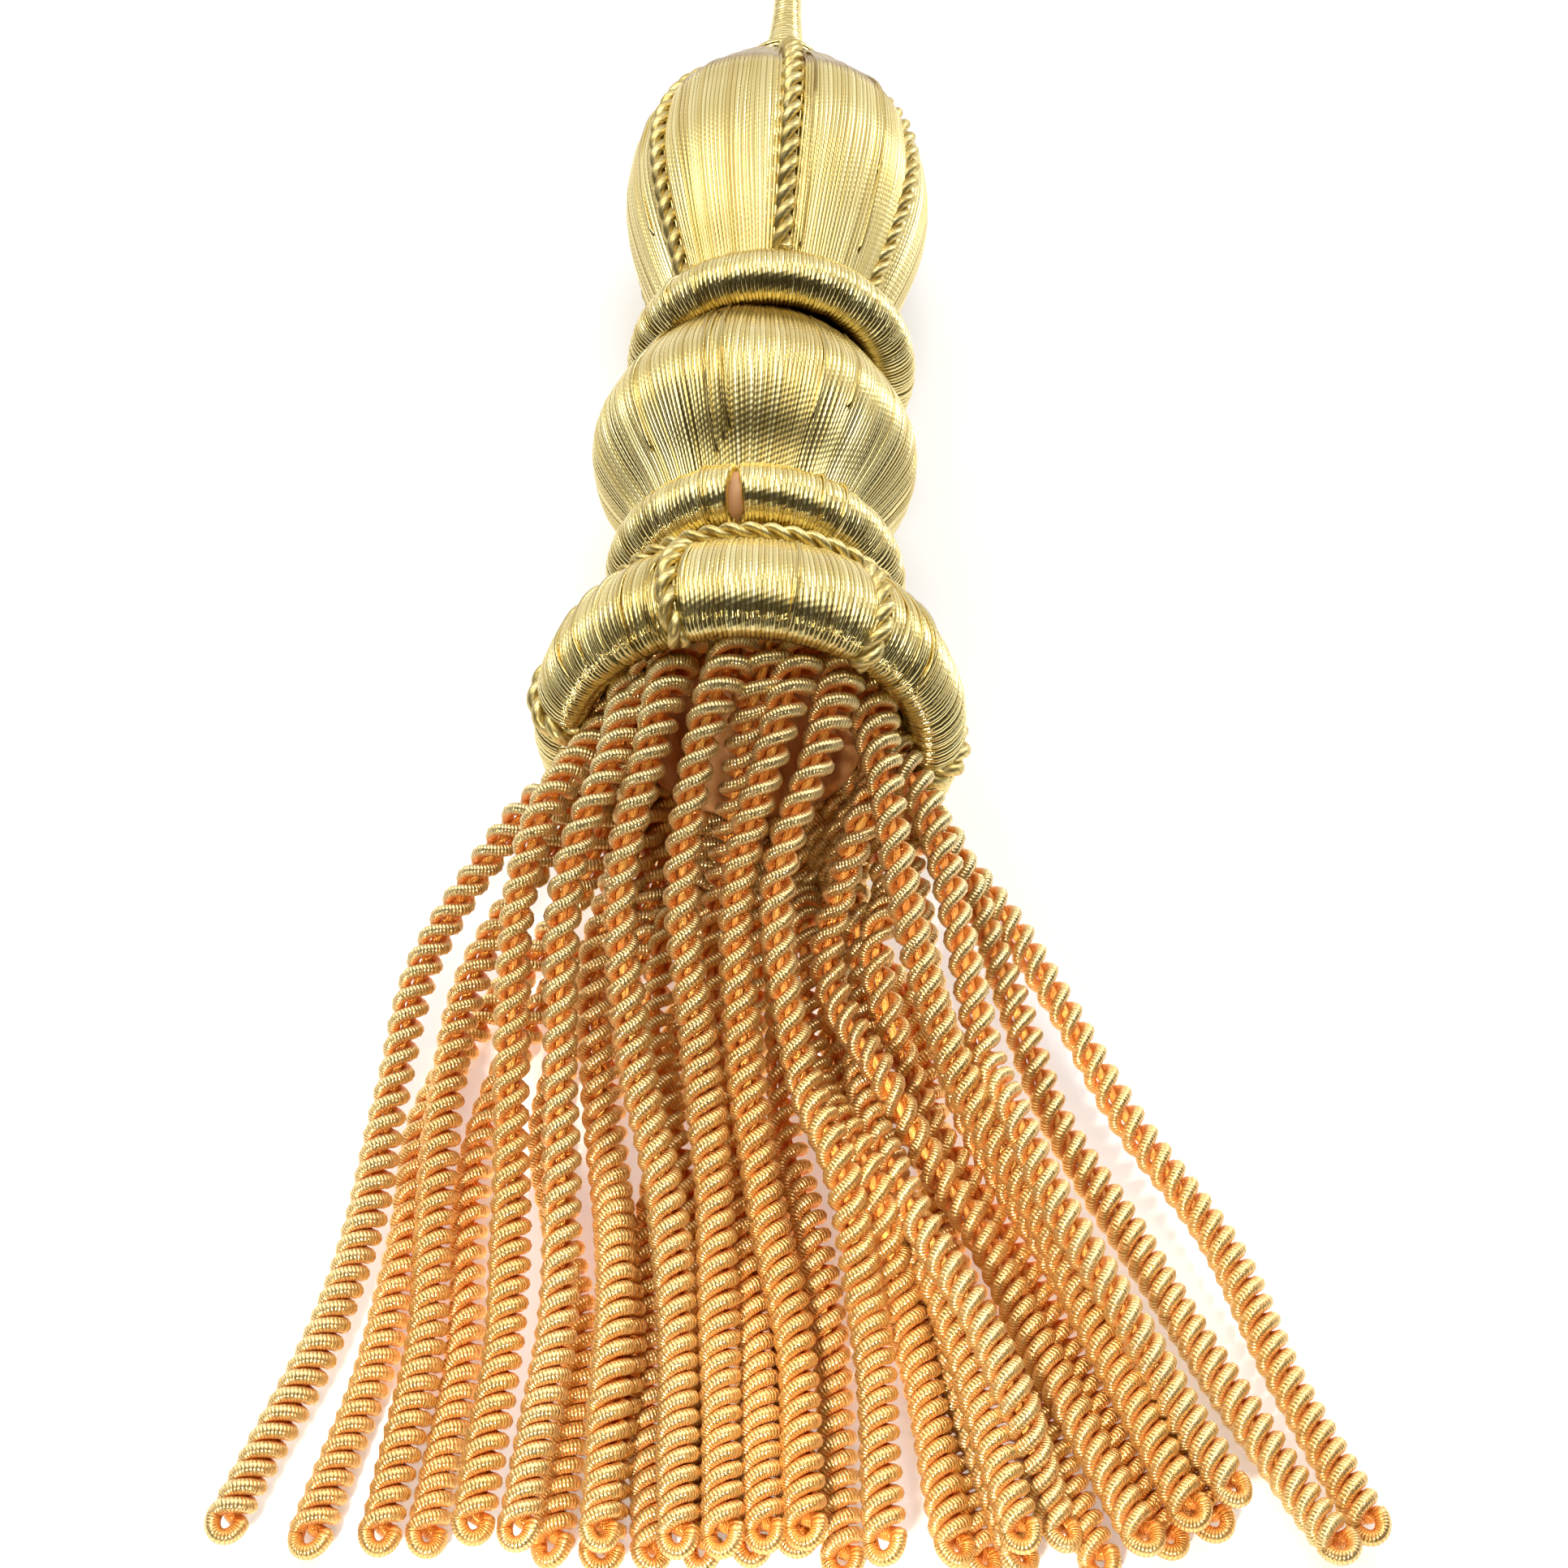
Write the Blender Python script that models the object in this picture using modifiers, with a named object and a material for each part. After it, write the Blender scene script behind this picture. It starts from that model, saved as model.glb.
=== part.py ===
# Bullion tassel: thread-wound wooden moulds on one stem, with a fringe of twisted strands, lying on a table.
# The head's axis runs along +Y to the stem; lengths below are in millimetres and are scaled once, by MM.
import math

import bmesh
import bpy
import numpy as np
from mathutils import Matrix, Vector

MM = 0.001

# Whole object
OBJECT_NAME = "bullion_tassel"
ORIGIN_X = 7.00           # middle of the fan's spread, from the head's axis
ORIGIN_Y = 16.65          # middle of the whole length, from the large ring
AXIS_HEIGHT = 19.85       # height of the head's axis at the large ring
AXIS_DROP = math.radians(4.15)  # the head dips towards the stem and rests on its bulb
BLOCK_SIZE = (300.0, 300.0, 30.0)   # block under the table's top that trims the resting spots
TURNED_STEPS = 36         # sides of a turned piece
TURNED_MERGE = 0.02       # points nearer than this are merged on a turned piece's axis

# Twisted cords: two plies round one another
CORD_RADIUS = 1.0
CORD_LOBE = 0.12          # how far each ply stands out of the round, as a share of the radius
CORD_PITCH = 5.0          # length of one whole turn
CORD_SIDES = 6
CORD_STEPS = 5            # stations in one turn
CORD_GAP = 0.32           # clearance between a cord and the groove it lies in
CORD_LEAST_STEPS = 8      # stations of the shortest cord
GROOVE_EXTRA = 2.0        # how far a groove runs on past each end of its cord

# Turned outlines: columns are radius, distance along the axis from the large ring to the stem
STEM_OUTLINE = (
    (0.0, 108.0), (1.25, 108.0), (1.45, 100.5), (1.9, 96.6), (2.5, 94.0),
    (3.7, 93.3), (4.1, 92.6), (3.6, 91.8), (0.0, 91.8),
)
BULB_OUTLINE = (
    (0.0, 91.5), (3.6, 91.5), (6.3, 88.4), (9.2, 84.6), (11.8, 80.4), (13.5, 76.4),
    (14.4, 73.0), (15.0, 69.5), (14.9, 65.5), (14.2, 61.0), (12.9, 56.0), (11.6, 52.2),
    (10.4, 50.3), (0.0, 50.3),
)
DISC_OUTLINE = (
    (0.0, 50.0), (9.6, 50.0), (11.7, 49.1), (13.2, 47.6), (13.8, 45.8), (13.2, 44.1),
    (11.7, 43.1), (10.2, 43.5), (9.0, 44.9), (0.0, 44.9),
)
BALL_OUTLINE = (
    (0.0, 44.5), (7.6, 43.8), (9.6, 42.2), (12.6, 39.4), (14.7, 36.0), (15.6, 32.0),
    (15.3, 28.0), (14.0, 24.2), (12.2, 21.6), (10.4, 20.4), (0.0, 20.4),
)
SMALL_RING_OUTLINE = (
    (0.0, 20.1), (9.6, 20.1), (11.8, 19.5), (13.3, 18.2), (13.9, 16.4), (13.4, 14.5),
    (12.2, 13.4), (10.4, 13.1), (0.0, 13.1),
)
LARGE_RING_OUTLINE = (
    (0.0, 12.8), (10.8, 12.8), (12.3, 11.9), (13.4, 10.3), (14.0, 8.2), (15.6, 7.5),
    (17.6, 6.2), (19.2, 3.6), (19.95, 0.6), (19.9, -1.8), (19.1, -4.0), (17.8, -5.5),
    (16.4, -6.0), (15.1, -5.3), (14.4, -3.6), (14.3, 4.5), (0.0, 4.5),
)
MOULD_OUTLINE = (
    (0.0, 4.2), (14.0, 4.2), (14.0, -0.5), (10.3, -0.5), (10.3, -4.2), (9.3, -4.7),
    (8.2, -4.3), (7.6, 1.0), (0.0, 1.0),
)

# Sideways place of each turned piece on the stem: threaded moulds never stack quite straight
SWAY = {"disc_ring": 0.3, "ball": -0.9, "small_ring": -0.2}

# Laid cords: columns are degrees from straight up, depth of the cord's middle under the surface
BULB_CORDS = ((-54, 0.45), (6, 0.45), (66, 0.45), (126, 0.45), (186, 1.05), (246, 0.45))
RING_ROPES = ((-22, 0.2), (38, 0.2), (98, 0.2), (158, 0.2), (218, 0.2), (278, 0.2))
# Their routes: radius, distance along the axis
BULB_CORD_ROWS = ((4.4, 90.6), (6.3, 88.4), (9.2, 84.6), (11.8, 80.4), (13.5, 76.4), (14.4, 73.0),
                  (15.0, 69.5), (14.9, 65.5), (14.2, 61.0), (12.9, 56.0), (11.7, 52.5), (11.2, 51.3))
ROPE_ROWS = ((15.8, 7.3), (17.6, 6.2), (19.2, 3.6), (19.95, 0.6), (19.9, -1.8), (19.1, -4.0),
             (17.8, -5.5), (16.4, -6.0), (15.3, -5.5))
JOINT_CORD_RADIUS = 0.8
JOINT_CORD_RING = (15.15, 9.25)     # radius of its circle, distance along the axis

# Fringe
STRAND_COUNT = 25
STRAND_START = -0.25                # share of a strand's spacing from the left end to the first strand
STRAND_UPRIGHT = (5.0, 12.0)        # heights of the fan between which a strand's section turns level
BAND_INNER = 10.6
BAND_OUTER = 14.0
BAND_FRONT = -3.6
BAND_BACK = -0.8
# Fan of strand middles: place along Y, left edge, right edge, low row, high row, side of a strand
FAN = (
    (-2.0, -12.3, 12.3, 7.70, 32.3, 2.6),
    (-4.0, -12.4, 12.4, 7.70, 32.5, 2.7),
    (-6.0, -13.1, 13.1, 7.20, 33.0, 2.9),
    (-8.0, -15.4, 15.3, 6.20, 33.0, 3.2),
    (-11.0, -19.8, 19.2, 4.20, 31.6, 3.5),
    (-15.0, -24.2, 23.0, 2.50, 28.8, 3.6),
    (-22.0, -28.0, 27.6, 2.00, 23.0, 3.6),
    (-34.0, -30.6, 34.8, 1.80, 14.6, 3.6),
    (-46.0, -32.3, 42.7, 1.80, 9.2, 3.6),
    (-58.0, -35.4, 48.6, 1.80, 6.6, 3.6),
    (-68.0, -39.3, 53.2, 1.75, 5.75, 3.5),
    (-74.5, -42.8, 56.8, 1.60, 3.2, 3.2),
)
TILT_FADE = 12.0          # the strands leave square to the head's axis and are upright after this

# Colours as linear red, green, blue; then roughness and metallic
LOOKS = {
    "gilt_thread": ((0.68, 0.53, 0.19), 0.38, 0.9),
    "gilt_cord": ((0.62, 0.46, 0.14), 0.36, 0.9),
    "gilt_bullion": ((0.80, 0.42, 0.11), 0.30, 0.95),
    "mould_wood": ((0.24, 0.11, 0.045), 0.7, 0.0),
}


def clear_scene():
    for obj in list(bpy.data.objects):
        bpy.data.objects.remove(obj, do_unlink=True)


def make_material(name):
    colour, roughness, metallic = LOOKS[name]
    material = bpy.data.materials.new(name)
    material.use_nodes = True
    shader = material.node_tree.nodes["Principled BSDF"]
    shader.inputs["Base Color"].default_value = (*colour, 1.0)
    shader.inputs["Roughness"].default_value = roughness
    shader.inputs["Metallic"].default_value = metallic
    material.diffuse_color = (*colour, 1.0)
    return material


def make_collection(name):
    collection = bpy.data.collections.new(name)
    bpy.context.scene.collection.children.link(collection)
    return collection


def head_matrix(sway=0.0):
    """Local Z becomes the head's axis, which dips towards the stem."""
    place = Matrix.Translation(Vector((sway, 0.0, AXIS_HEIGHT)) * MM)
    return place @ Matrix.Rotation(-math.pi / 2 - AXIS_DROP, 4, "X")


def new_object(name, mesh, collection, material=None):
    obj = bpy.data.objects.new(name, mesh)
    collection.objects.link(obj)
    if material is not None:
        mesh.materials.append(material)
    return obj


def tube_faces(stations, sides, start=0, closed=False):
    """Faces of a tube whose rings of points follow each other; an open one gets a flat cap at each end."""
    faces = []
    for i in range(stations if closed else stations - 1):
        ring = start + i * sides
        following = start + (i + 1) % stations * sides
        for j in range(sides):
            k = (j + 1) % sides
            faces.append((ring + j, ring + k, following + k, following + j))
    if not closed:
        last = start + (stations - 1) * sides
        faces.append(tuple(start + j for j in range(sides - 1, -1, -1)))
        faces.append(tuple(last + j for j in range(sides)))
    return faces


def grid_mesh(name, rings):
    """Closed tube through rings of equal length."""
    return mesh_from(name, rings.reshape(-1, 3), tube_faces(rings.shape[0], rings.shape[1]))


def mesh_from(name, points, faces):
    """Mesh in metres from points in millimetres, with every face turned outwards."""
    mesh = bpy.data.meshes.new(name)
    mesh.from_pydata([tuple(p) for p in points * MM], [], faces)
    shape = bmesh.new()
    shape.from_mesh(mesh)
    bmesh.ops.recalc_face_normals(shape, faces=shape.faces)
    shape.to_mesh(mesh)
    shape.free()
    return mesh


def turned(name, outline, collection, material, matrix):
    """Profile of radius and height, spun round local Z by a Screw modifier."""
    points = [(radius * MM, 0.0, height * MM) for radius, height in outline]
    edges = [(i, i + 1) for i in range(len(points) - 1)]
    mesh = bpy.data.meshes.new(name)
    mesh.from_pydata(points, edges, [])
    obj = new_object(name, mesh, collection, material)
    obj.matrix_world = matrix
    screw = obj.modifiers.new("Turn", "SCREW")
    screw.axis = "Z"
    screw.angle = 2 * math.pi
    screw.steps = TURNED_STEPS
    screw.render_steps = TURNED_STEPS
    screw.use_merge_vertices = True
    screw.merge_threshold = TURNED_MERGE * MM
    screw.use_smooth_shade = True
    return obj


def cut(obj, cutter):
    boolean = obj.modifiers.new("Cut " + cutter.name, "BOOLEAN")
    boolean.operation = "DIFFERENCE"
    boolean.solver = "EXACT"
    boolean.object = cutter


def as_cutter(obj):
    obj.hide_render = True
    obj.display_type = "WIRE"
    return obj


def tube_rings(path, radii, sides, turns=None, lobe=0.0):
    """Rings of points square to a path; two lobes turn round it where turns are given."""
    path = np.asarray(path, float)
    along = np.gradient(path, axis=0)
    along /= np.linalg.norm(along, axis=1)[:, None]
    side = np.cross(along, path_normal(path))
    side /= np.linalg.norm(side, axis=1)[:, None]
    lift = np.cross(side, along)
    angle = np.linspace(0, 2 * math.pi, sides, endpoint=False)[None, :]
    radii = np.asarray(radii, float)[:, None] * np.ones_like(angle)
    if turns is not None:
        angle = angle + 2 * math.pi * np.asarray(turns)[:, None]
        lobes = np.cos(2 * np.linspace(0, 2 * math.pi, sides, endpoint=False))[None, :]
        radii = radii * (1 - lobe + lobe * lobes)
    offsets = np.cos(angle)[..., None] * side[:, None] + np.sin(angle)[..., None] * lift[:, None]
    return path[:, None] + offsets * radii[..., None]


def path_normal(path):
    """Normal of the plane a bent path lies in."""
    middle = path[len(path) // 2]
    normal = np.cross(path[0] - middle, path[len(path) // 4] - middle)
    return normal / np.linalg.norm(normal)


def resample(path, count):
    """The same route with evenly spaced points, and its length."""
    path = np.asarray(path, float)
    length = np.concatenate([[0], np.cumsum(np.linalg.norm(np.diff(path, axis=0), axis=1))])
    wanted = np.linspace(0, length[-1], count)
    return np.stack([np.interp(wanted, length, path[:, k]) for k in range(path.shape[1])], 1), length[-1]


def sunk_rows(rows, sink):
    """Outline rows moved inwards, square to the outline."""
    rows = np.asarray(rows, float)
    along = np.gradient(rows, axis=0)
    along /= np.linalg.norm(along, axis=1)[:, None]
    outward = np.stack([-along[:, 1], along[:, 0]], 1)
    return rows - sink * outward


def laid_path(rows, degrees):
    """Rows of radius and height turned to their place round the axis, measured from straight up."""
    # Local -Y of a turned piece points up once the head lies down.
    turn = math.radians(degrees)
    radius, height = rows[:, 0], rows[:, 1]
    return np.stack([radius * math.sin(turn), -radius * math.cos(turn), height], 1)


def laid_cord(name, rows, sink, degrees, collection, cutters, material, matrix, carrier):
    """A twisted cord in a groove of the piece that carries it."""
    route = laid_path(sunk_rows(rows, sink), degrees)
    length = resample(route, 2)[1]
    count = max(round(length / CORD_PITCH * CORD_STEPS), CORD_LEAST_STEPS)
    path = resample(route, count)[0]
    turns = np.arange(count) / CORD_STEPS
    rings = tube_rings(path, np.full(count, CORD_RADIUS), CORD_SIDES, turns, CORD_LOBE)
    cord = new_object(name, grid_mesh(name, rings), collection, material)
    cord.matrix_world = matrix

    ends = route[[0, -1]] + GROOVE_EXTRA * unit(route[[0, -1]] - route[[1, -2]])
    groove_path = np.concatenate([ends[:1], route, ends[1:]])
    radius = (CORD_RADIUS + CORD_GAP) / math.cos(math.pi / CORD_SIDES)
    rings = tube_rings(groove_path, np.full(len(groove_path), radius), CORD_SIDES)
    groove = as_cutter(new_object(name + "_groove", grid_mesh(name + "_groove", rings), cutters))
    groove.matrix_world = matrix
    cut(carrier, groove)
    return cord


def unit(vectors):
    return vectors / np.linalg.norm(vectors, axis=-1)[..., None]


def ring_cord(name, radius, circle, collection, material, matrix):
    """A twisted cord closed round the head."""
    ring_radius, height = circle
    length = 2 * math.pi * ring_radius
    turns = round(length / CORD_PITCH)
    count = turns * CORD_STEPS
    round_angle = np.linspace(0, 2 * math.pi, count, endpoint=False)
    outward = np.stack([np.cos(round_angle), np.sin(round_angle), 0 * round_angle], 1)
    upward = np.array([0.0, 0.0, 1.0])
    angle = np.linspace(0, 2 * math.pi, CORD_SIDES, endpoint=False)
    lobes = 1 - CORD_LOBE + CORD_LOBE * np.cos(2 * angle)
    spin = angle[None, :] + turns * round_angle[:, None]
    across = (np.cos(spin) * lobes)[..., None] * outward[:, None]
    across = across + (np.sin(spin) * lobes)[..., None] * upward
    points = ring_radius * outward[:, None] + radius * across
    points[..., 2] += height
    faces = tube_faces(count, CORD_SIDES, closed=True)
    cord = new_object(name, mesh_from(name, points.reshape(-1, 3), faces), collection, material)
    cord.matrix_world = matrix
    return cord


def stadium_point(share, width, height):
    """Point at a share of the way round two level rows with round ends, and the way it faces.

    The count starts at the left end and runs over the top. A circle is the case width == height.
    """
    radius = height / 2
    straight = width - height
    quarter = math.pi * radius / 2
    place = (share % 1.0) * (2 * straight + 4 * quarter)
    if place < quarter:
        turn = place / radius
        return -straight / 2 - radius * math.cos(turn), radius * math.sin(turn), math.pi - turn
    place -= quarter
    if place < straight:
        return -straight / 2 + place, radius, math.pi / 2
    place -= straight
    if place < 2 * quarter:
        turn = math.pi / 2 - place / radius
        return straight / 2 + radius * math.cos(turn), radius * math.sin(turn), turn
    place -= 2 * quarter
    if place < straight:
        return straight / 2 - place, -radius, -math.pi / 2
    place -= straight
    turn = -math.pi / 2 - place / radius
    return -straight / 2 + radius * math.cos(turn), radius * math.sin(turn), turn


def strand_rings(index):
    """Four-sided rings of one strand; the ring of strands flattens into two staggered rows."""
    share = (index + STRAND_START) / STRAND_COUNT
    level, round_height = STRAND_UPRIGHT
    rings = []
    for place, left, right, low, high, side in FAN:
        across, upward, facing = stadium_point(share, right - left, high - low)
        middle = np.array([(left + right) / 2 + across, place, (low + high) / 2 + upward])
        fade = min(max(1.0 + (place - BAND_FRONT) / TILT_FADE, 0.0), 1.0)
        middle[1] += (middle[2] - AXIS_HEIGHT) * math.tan(AXIS_DROP) * fade
        turn = min(max((high - low - level) / (round_height - level), 0.0), 1.0)
        out = unit(np.array([math.cos(facing) * turn, 0.0, math.sin(facing)]))
        along = np.array([-out[2], 0.0, out[0]])
        corners = [(-1, -1), (1, -1), (1, 1), (-1, 1)]
        rings.append([middle + side / 2 * (a * out + b * along) for a, b in corners])
    return np.array(rings)


def make_fringe(collection, cutters, material, matrix):
    """Band of heading inside the large ring, with every strand fused into it."""
    band_outline = ((BAND_INNER, BAND_BACK), (BAND_OUTER, BAND_BACK), (BAND_OUTER, BAND_FRONT),
                    (BAND_INNER, BAND_FRONT), (BAND_INNER, BAND_BACK))
    fringe = turned("fringe", band_outline, collection, material, matrix)
    points = []
    faces = []
    for index in range(STRAND_COUNT):
        rings = strand_rings(index)
        faces.extend(tube_faces(rings.shape[0], rings.shape[1], start=len(points)))
        points.extend(rings.reshape(-1, 3))
    strands = as_cutter(new_object("strands", mesh_from("strands", np.array(points), faces), cutters))
    boolean = fringe.modifiers.new("Strands", "BOOLEAN")
    boolean.operation = "UNION"
    boolean.solver = "EXACT"
    boolean.object = strands
    return fringe


def make_table_block(cutters):
    """Block under the table's top, which trims a small flat where a round piece rests."""
    mesh = bpy.data.meshes.new("table_block")
    shape = bmesh.new()
    bmesh.ops.create_cube(shape, size=1.0)
    bmesh.ops.scale(shape, vec=Vector(BLOCK_SIZE) * MM, verts=shape.verts)
    bmesh.ops.translate(shape, vec=Vector((0.0, 0.0, -BLOCK_SIZE[2] / 2)) * MM, verts=shape.verts)
    shape.to_mesh(mesh)
    shape.free()
    return as_cutter(new_object("table_block", mesh, cutters))


def build():
    clear_scene()
    parts = make_collection(OBJECT_NAME)
    cutters = make_collection("cutters")
    materials = {name: make_material(name) for name in LOOKS}
    thread = materials["gilt_thread"]
    rope = materials["gilt_cord"]

    centre = bpy.data.objects.new("tassel_centre", None)
    parts.objects.link(centre)
    table = make_table_block(cutters)

    turned("stem", STEM_OUTLINE, parts, thread, head_matrix())
    bulb = turned("bulb", BULB_OUTLINE, parts, thread, head_matrix())
    turned("disc_ring", DISC_OUTLINE, parts, thread, head_matrix(SWAY["disc_ring"]))
    turned("ball", BALL_OUTLINE, parts, thread, head_matrix(SWAY["ball"]))
    turned("small_ring", SMALL_RING_OUTLINE, parts, thread, head_matrix(SWAY["small_ring"]))
    large_ring = turned("large_ring", LARGE_RING_OUTLINE, parts, thread, head_matrix())
    turned("ring_mould", MOULD_OUTLINE, parts, materials["mould_wood"], head_matrix())

    for number, (degrees, sink) in enumerate(BULB_CORDS, 1):
        cord = laid_cord("bulb_cord_%d" % number, BULB_CORD_ROWS, sink, degrees,
                         parts, cutters, rope, head_matrix(), bulb)
        if sink > CORD_RADIUS:
            cut(cord, table)
    for number, (degrees, sink) in enumerate(RING_ROPES, 1):
        laid_cord("ring_rope_%d" % number, ROPE_ROWS, sink, degrees,
                  parts, cutters, rope, head_matrix(), large_ring)
    cut(bulb, table)
    cut(large_ring, table)

    ring_cord("joint_cord", JOINT_CORD_RADIUS, JOINT_CORD_RING, parts, rope, head_matrix())
    make_fringe(parts, cutters, materials["gilt_bullion"], head_matrix())

    for obj in list(parts.objects) + list(cutters.objects):
        if obj is not centre:
            obj.parent = centre
    centre.location = Vector((-ORIGIN_X, -ORIGIN_Y, 0.0)) * MM


build()
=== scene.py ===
# Bullion tassel on a table: thread wound over turned moulds, laid cords, a fringe of twisted wire strands.
# Lengths are in millimetres and become metres where a mesh is made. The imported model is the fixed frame.
import math

import bpy
import numpy as np
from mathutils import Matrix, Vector


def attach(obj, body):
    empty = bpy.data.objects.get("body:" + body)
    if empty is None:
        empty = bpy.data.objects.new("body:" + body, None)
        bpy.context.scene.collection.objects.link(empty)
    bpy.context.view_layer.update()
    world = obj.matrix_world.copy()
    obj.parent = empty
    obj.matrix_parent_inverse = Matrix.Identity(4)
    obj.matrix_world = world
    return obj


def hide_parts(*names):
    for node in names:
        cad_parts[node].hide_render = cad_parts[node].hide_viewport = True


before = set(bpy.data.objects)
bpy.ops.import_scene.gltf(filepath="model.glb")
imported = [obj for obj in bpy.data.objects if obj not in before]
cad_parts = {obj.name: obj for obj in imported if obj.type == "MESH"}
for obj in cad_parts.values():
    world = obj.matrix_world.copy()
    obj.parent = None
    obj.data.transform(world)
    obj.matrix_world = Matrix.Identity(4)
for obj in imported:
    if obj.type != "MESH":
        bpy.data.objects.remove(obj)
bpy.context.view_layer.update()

mm = 0.001
turn = 2 * math.pi
print("frame loaded:", len(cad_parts), "nodes")

# Camera, table and light

view = {
    "eye": (3.2, -232.94, 293.8),     # at the fringe's end, looking down on the head
    "target": (-3.8, -21.44, 15.0),
    "lens": 88.0,
    "sensor": 36.0,
}

studio = {
    "tableSize": 1600.0,
    "tableColour": "#F7F7F8",
    "tableGlow": 0.30,                # a light table: keeps the ground near white under the object
    "skyBright": "#FBFCFF",
    "skyDark": "#38342C",
    "skyStrength": 1.0,
    # a wide softbox over and behind the head; the rest of the room is dim, so the metal is dark where it
    # faces the photographer
    "brightTowards": (0.0, 0.75, 0.66),
    "brightFrom": 0.36,               # cosine of the angle from there at which the room is dim
    "brightTo": 0.66,
    # Softboxes: name, place, aimed at, width, height, watts, spread of the beam in degrees, colour
    "lights": (
        ("keyLight", (-300.0, 260.0, 440.0), (0.0, 0.0, 15.0), 200.0, 160.0, 0.8, 180.0, "#FFF8EA"),
        ("backLight", (330.0, 360.0, 190.0), (0.0, -20.0, 10.0), 160.0, 120.0, 0.7, 180.0, "#FFFFFF"),
        ("topLight", (40.0, 60.0, 560.0), (0.0, 0.0, 0.0), 240.0, 160.0, 0.7, 180.0, "#FFFFFF"),
        # a narrow beam on the fringe alone, from over the photographer's shoulder
        ("fringeLight", (-90.0, -420.0, 330.0), (-2.0, -79.0, 5.0), 80.0, 60.0, 0.040, 13.0, "#FFF4E2"),
        # a warm card under the fan: the glow that the gold throws on the table between its strands
        ("fanGlow", (-8.0, -48.0, 0.6), (-8.0, -48.0, 40.0), 62.0, 60.0, 0.006, 180.0, "#FFC48A"),
    ),
}


def linearColour(hexText):
    # sRGB to linear: c / 12.92 near black, else ((c + 0.055) / 1.055) to the power 2.4
    parts = [int(hexText[k:k + 2], 16) / 255 for k in (1, 3, 5)]
    return tuple(c / 12.92 if c <= 0.04045 else ((c + 0.055) / 1.055) ** 2.4 for c in parts) + (1.0,)


def aim(thing, place, target):
    # looks from place to target with its own Y upwards
    thing.location = Vector(place) * mm
    thing.rotation_euler = (Vector(target) - Vector(place)).to_track_quat("-Z", "Y").to_euler()


def addNode(tree, kind, inputs=None, **settings):
    # one node with its settings; an input is a value, or the socket that feeds it
    node = tree.nodes.new("ShaderNode" + kind)
    for name, value in settings.items():
        setattr(node, name, value)
    for name, value in (inputs or {}).items():
        if isinstance(value, bpy.types.NodeSocket):
            tree.links.new(value, node.inputs[name])
        else:
            node.inputs[name].default_value = value
    return node


def newMaterial(name, **sockets):
    # a material with its shader's own values set; an underscore stands for the space in a socket's name
    material = bpy.data.materials.new(name)
    material.use_nodes = True
    shader = material.node_tree.nodes["Principled BSDF"]
    for socket, value in sockets.items():
        shader.inputs[socket.replace("_", " ")].default_value = value
    return material, material.node_tree, shader


def makeCamera():
    # stands at the eye and looks at the target
    camera = bpy.data.objects.new("camera", bpy.data.cameras.new("camera"))
    bpy.context.scene.collection.objects.link(camera)
    camera.data.lens = view["lens"]
    camera.data.sensor_width = view["sensor"]
    aim(camera, view["eye"], view["target"])
    bpy.context.scene.camera = camera


def makeStudio():
    # a square table at height 0, softboxes aimed at the tassel, and the sky
    half = studio["tableSize"] / 2 * mm
    mesh = bpy.data.meshes.new("table")
    square = [(-half, -half, 0), (half, -half, 0), (half, half, 0), (-half, half, 0)]
    mesh.from_pydata(square, [], [(0, 1, 2, 3)])
    table = bpy.data.objects.new("table", mesh)
    bpy.context.scene.collection.objects.link(table)
    colour = linearColour(studio["tableColour"])
    material = newMaterial("paintedTable", Base_Color=colour, Roughness=0.6, Emission_Color=colour,
                           Emission_Strength=studio["tableGlow"])[0]
    mesh.materials.append(material)

    for name, place, target, width, height, watts, spread, hexText in studio["lights"]:
        light = bpy.data.lights.new(name, "AREA")
        light.shape = "RECTANGLE"
        light.size = width * mm
        light.size_y = height * mm
        light.energy = watts
        light.spread = math.radians(spread)
        light.color = linearColour(hexText)[:3]
        lamp = bpy.data.objects.new(name, light)
        lamp.visible_camera = False
        bpy.context.scene.collection.objects.link(lamp)
        aim(lamp, place, target)

    # sky: dim but for a wide bright part, by the cosine between each direction and brightTowards
    world = bpy.data.worlds.new("studioSky")
    bpy.context.scene.world = world
    world.use_nodes = True
    tree = world.node_tree
    direction = addNode(tree, "TexCoord").outputs["Generated"]
    lean = addNode(tree, "VectorMath", {0: direction, 1: studio["brightTowards"]}, operation="DOT_PRODUCT")
    rise = addNode(tree, "MapRange", {"Value": lean.outputs["Value"], "From Min": studio["brightFrom"],
                                      "From Max": studio["brightTo"]}, interpolation_type="SMOOTHSTEP")
    sky = addNode(tree, "Mix", {0: rise.outputs["Result"], 6: linearColour(studio["skyDark"]),
                                7: linearColour(studio["skyBright"])}, data_type="RGBA")
    background = tree.nodes["Background"]
    tree.links.new(sky.outputs[2], background.inputs["Color"])
    background.inputs["Strength"].default_value = studio["skyStrength"]
    bpy.context.scene.view_settings.view_transform = "Standard"


makeCamera()
makeStudio()
print("camera, table and light are up")

# Meshes from arrays


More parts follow.
